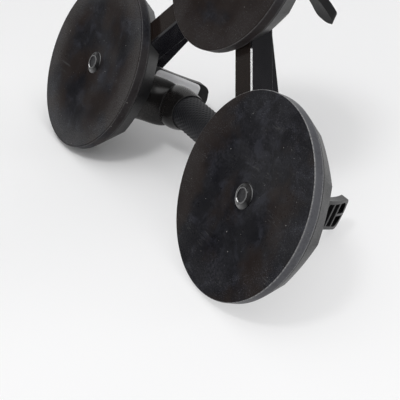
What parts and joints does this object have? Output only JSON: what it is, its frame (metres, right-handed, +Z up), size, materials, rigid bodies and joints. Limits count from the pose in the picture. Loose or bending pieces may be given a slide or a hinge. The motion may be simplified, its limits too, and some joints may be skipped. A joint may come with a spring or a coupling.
{
  "type": "suction cup lifter",
  "caption": "Round rubber suction cups set in a triangle, each drawn up by its own cam lever, joined by braces and a carrying handle, for lifting glass and smooth panels.",
  "frame": {"origin": "centre of the footprint, on the plane of the suction faces", "axes": "+Z up through the handle, away from the suction faces; +X from the left cup to the right cup, along the grip; -Y to the front cup"},
  "size_m": [0.323, 0.228, 0.0865],
  "materials": {
    "pad_rubber": "satin, slightly dusty and scratched",
    "housing_plastic": "semi-gloss moulded",
    "lever_plastic": "satin moulded",
    "brace_plastic": "semi-gloss moulded",
    "grip_rubber": "fine dotted texture",
    "steel": "plated"
  },
  "bodies": {
    "frame": {"left_suction_pad": "pad_rubber", "left_housing": "housing_plastic", "left_wear_plate": "steel", "right_suction_pad": "pad_rubber", "right_housing": "housing_plastic", "right_wear_plate": "steel", "front_suction_pad": "pad_rubber", "front_housing": "housing_plastic", "front_wear_plate": "steel", "left_brace": "brace_plastic", "right_brace": "brace_plastic", "left_handle_post": "brace_plastic", "right_handle_post": "brace_plastic", "handle_tube": "steel", "handle_grip": "grip_rubber", "brace_screws": "steel", "handle_screws": "steel"},
    "left_plunger": {"left_centre_washer": "housing_plastic", "left_insert_disc": "steel", "left_lift_stud": "steel"},
    "left_lever_arm": {"left_lever": "lever_plastic", "left_lever_pin": "steel"},
    "right_plunger": {"right_centre_washer": "housing_plastic", "right_insert_disc": "steel", "right_lift_stud": "steel"},
    "right_lever_arm": {"right_lever": "lever_plastic", "right_lever_pin": "steel"},
    "front_plunger": {"front_centre_washer": "housing_plastic", "front_insert_disc": "steel", "front_lift_stud": "steel"},
    "front_lever_arm": {"front_lever": "lever_plastic", "front_lever_pin": "steel"}
  },
  "joints": [
    {"name": "left_pad_lift", "type": "slide", "parent": "frame", "child": "left_plunger", "axis": [0, 0, 1], "range_m": [0, 0.0045], "deforming": ["left_suction_pad"]},
    {"name": "left_lever_hinge", "type": "hinge", "parent": "left_plunger", "child": "left_lever_arm", "pos_m": [-0.1025, 0.055, 0.0355], "axis": [0, -1, 0], "range_deg": [0, 110]},
    {"name": "right_pad_lift", "type": "slide", "parent": "frame", "child": "right_plunger", "axis": [0, 0, 1], "range_m": [0, 0.0045], "deforming": ["right_suction_pad"]},
    {"name": "right_lever_hinge", "type": "hinge", "parent": "right_plunger", "child": "right_lever_arm", "pos_m": [0.1025, 0.055, 0.0355], "axis": [0, 1, 0], "range_deg": [0, 110]},
    {"name": "front_pad_lift", "type": "slide", "parent": "frame", "child": "front_plunger", "axis": [0, 0, 1], "range_m": [0, 0.0045], "deforming": ["front_suction_pad"]},
    {"name": "front_lever_hinge", "type": "hinge", "parent": "front_plunger", "child": "front_lever_arm", "pos_m": [0, -0.055, 0.0355], "axis": [1, 0, 0], "range_deg": [0, 110]}
  ],
  "couplings": [
    {"joint": "left_lever_hinge", "follows": "left_pad_lift", "rad_per_m": 426.63},
    {"joint": "right_lever_hinge", "follows": "right_pad_lift", "rad_per_m": 426.63},
    {"joint": "front_lever_hinge", "follows": "front_pad_lift", "rad_per_m": 426.63}
  ]
}
